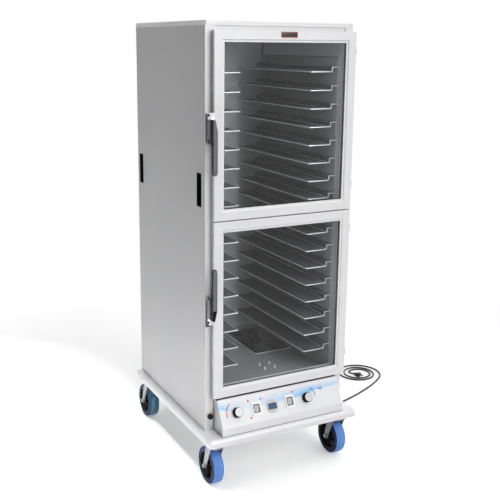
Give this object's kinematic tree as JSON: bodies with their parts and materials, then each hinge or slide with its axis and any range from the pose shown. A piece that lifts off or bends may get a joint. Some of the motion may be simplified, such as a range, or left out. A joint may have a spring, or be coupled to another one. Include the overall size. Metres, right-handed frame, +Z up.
{
  "type": "heated holding cabinet",
  "caption": "Tall insulated food holding cabinet on swivel casters, with glazed upper and lower doors, lever latches, tray slides, a water pan and a sloped control panel.",
  "frame": {"origin": "on the floor under the middle of the cabinet's outline, cord left out", "axes": "+Z up; the doors and controls face -Y; the hinges are on the +X side"},
  "size_m": [1.428, 0.9607, 1.909],
  "materials": {
    "body_sheet": "satin",
    "frame_white": "satin",
    "liner_sheet": "matte",
    "slide_metal": "bright edges",
    "insulation": "fibrous",
    "zinc_steel": "zinc plated",
    "hinge_steel": "polished",
    "tyre_blue": "matte",
    "hub_black": "matte",
    "pane_clear": "clear",
    "gasket_rubber": "matte",
    "black_plastic": "matte",
    "lever_metal": "satin",
    "latch_chrome": "polished",
    "badge_dark": "satin",
    "panel_face": "satin print",
    "switch_white": "gloss",
    "rocker_grey": "matte",
    "bezel_beige": "matte",
    "display_navy": "gloss",
    "light_lens": "translucent",
    "element_steel": "oxidised",
    "pan_steel": "satin",
    "cord_black": "matte",
    "plug_brass": "polished"
  },
  "bodies": {
    "cabinet": {"base_platform": "frame_white", "front_stiles": "frame_white", "front_rails": "frame_white", "top_cap": "frame_white", "control_housing": "frame_white", "base_channels": "zinc_steel", "caster_plates": "zinc_steel", "side_outer_panels": "body_sheet", "back_outer_panel": "body_sheet", "wall_insulation": "insulation", "cavity_liners": "liner_sheet", "cavity_floor": "liner_sheet", "left_tray_slides": "slide_metal", "right_tray_slides": "slide_metal", "hand_grips": "black_plastic", "mounting_screws": "black_plastic", "control_thermostats": "black_plastic", "cord_gland": "black_plastic", "latch_strikes": "latch_chrome", "hinge_body_leaves": "hinge_steel", "control_faceplate": "panel_face", "switch_bezels": "switch_white", "display_bezel": "bezel_beige", "display_window": "display_navy", "indicator_lights": "light_lens", "heating_element": "element_steel", "power_cord": "cord_black", "power_cord_coil": "cord_black", "plug_body": "cord_black", "plug_pins": "plug_brass"},
    "upper_door": {"upper_door_frame": "frame_white", "upper_door_pane": "pane_clear", "upper_door_gasket": "gasket_rubber", "upper_latch_case": "latch_chrome", "upper_door_hinge_leaves": "hinge_steel", "badge_plate": "badge_dark"},
    "upper_lever": {"upper_lever": "lever_metal"},
    "lower_door": {"lower_door_frame": "frame_white", "lower_door_pane": "pane_clear", "lower_door_gasket": "gasket_rubber", "lower_latch_case": "latch_chrome", "lower_door_hinge_leaves": "hinge_steel"},
    "lower_lever": {"lower_lever": "lever_metal"},
    "front_left_swivel": {"front_left_fork": "zinc_steel"},
    "front_left_wheel": {"front_left_hub": "hub_black", "front_left_tyre": "tyre_blue"},
    "front_right_swivel": {"front_right_fork": "zinc_steel"},
    "front_right_wheel": {"front_right_hub": "hub_black", "front_right_tyre": "tyre_blue"},
    "rear_left_swivel": {"rear_left_fork": "zinc_steel"},
    "rear_left_wheel": {"rear_left_hub": "hub_black", "rear_left_tyre": "tyre_blue"},
    "rear_right_swivel": {"rear_right_fork": "zinc_steel"},
    "rear_right_wheel": {"rear_right_hub": "hub_black", "rear_right_tyre": "tyre_blue"},
    "temperature_knob": {"temperature_knob": "black_plastic"},
    "humidity_knob": {"humidity_knob": "black_plastic"},
    "left_rocker": {"left_rocker": "rocker_grey"},
    "right_rocker": {"right_rocker": "rocker_grey"},
    "water_pan": {"water_pan": "pan_steel"}
  },
  "joints": [
    {"name": "upper_door_hinge", "type": "hinge", "parent": "cabinet", "child": "upper_door", "pos_m": [0.3408, -0.365, 1.5045], "axis": [0, 0, 1], "range_deg": [0, 180]},
    {"name": "lower_door_hinge", "type": "hinge", "parent": "cabinet", "child": "lower_door", "pos_m": [0.3408, -0.365, 0.759], "axis": [0, 0, 1], "range_deg": [0, 180]},
    {"name": "upper_lever_pull", "type": "hinge", "parent": "upper_door", "child": "upper_lever", "pos_m": [-0.3235, -0.3979, 1.525], "axis": [-1, 0, 0], "range_deg": [0, 25], "stiffness_Nm_per_rad": 2, "springref_deg": -11.46},
    {"name": "lower_lever_pull", "type": "hinge", "parent": "lower_door", "child": "lower_lever", "pos_m": [-0.3235, -0.3979, 0.751], "axis": [1, 0, 0], "range_deg": [0, 25], "stiffness_Nm_per_rad": 2, "springref_deg": -11.46},
    {"name": "front_left_caster_swivel", "type": "hinge", "parent": "cabinet", "child": "front_left_swivel", "pos_m": [-0.305, -0.3895, 0.184], "axis": [0, 0, 1], "continuous": true},
    {"name": "front_left_wheel_spin", "type": "hinge", "parent": "front_left_swivel", "child": "front_left_wheel", "pos_m": [-0.305, -0.3455, 0.08], "axis": [1, 0, 0], "continuous": true},
    {"name": "front_right_caster_swivel", "type": "hinge", "parent": "cabinet", "child": "front_right_swivel", "pos_m": [0.305, -0.3895, 0.184], "axis": [0, 0, 1], "continuous": true},
    {"name": "front_right_wheel_spin", "type": "hinge", "parent": "front_right_swivel", "child": "front_right_wheel", "pos_m": [0.305, -0.3455, 0.08], "axis": [1, 0, 0], "continuous": true},
    {"name": "rear_left_caster_swivel", "type": "hinge", "parent": "cabinet", "child": "rear_left_swivel", "pos_m": [-0.305, 0.3315, 0.184], "axis": [0, 0, 1], "continuous": true},
    {"name": "rear_left_wheel_spin", "type": "hinge", "parent": "rear_left_swivel", "child": "rear_left_wheel", "pos_m": [-0.305, 0.3755, 0.08], "axis": [1, 0, 0], "continuous": true},
    {"name": "rear_right_caster_swivel", "type": "hinge", "parent": "cabinet", "child": "rear_right_swivel", "pos_m": [0.305, 0.3315, 0.184], "axis": [0, 0, 1], "continuous": true},
    {"name": "rear_right_wheel_spin", "type": "hinge", "parent": "rear_right_swivel", "child": "rear_right_wheel", "pos_m": [0.305, 0.3755, 0.08], "axis": [1, 0, 0], "continuous": true},
    {"name": "temperature_knob_turn", "type": "hinge", "parent": "cabinet", "child": "temperature_knob", "pos_m": [-0.2167, -0.41836, 0.32672], "axis": [0, -0.8799, 0.4751], "range_deg": [0, 300]},
    {"name": "humidity_knob_turn", "type": "hinge", "parent": "cabinet", "child": "humidity_knob", "pos_m": [0.122, -0.41836, 0.32672], "axis": [0, -0.8799, 0.4751], "range_deg": [0, 300]},
    {"name": "left_rocker_tilt", "type": "hinge", "parent": "cabinet", "child": "left_rocker", "pos_m": [-0.125, -0.40956, 0.32197], "axis": [-1, 0, 0], "range_deg": [0, 14]},
    {"name": "right_rocker_tilt", "type": "hinge", "parent": "cabinet", "child": "right_rocker", "pos_m": [0.037, -0.40956, 0.32197], "axis": [-1, 0, 0], "range_deg": [0, 14]},
    {"name": "water_pan_lift", "type": "slide", "parent": "cabinet", "child": "water_pan", "axis": [0, 0, 1], "range_m": [0, 0.09]}
  ]
}
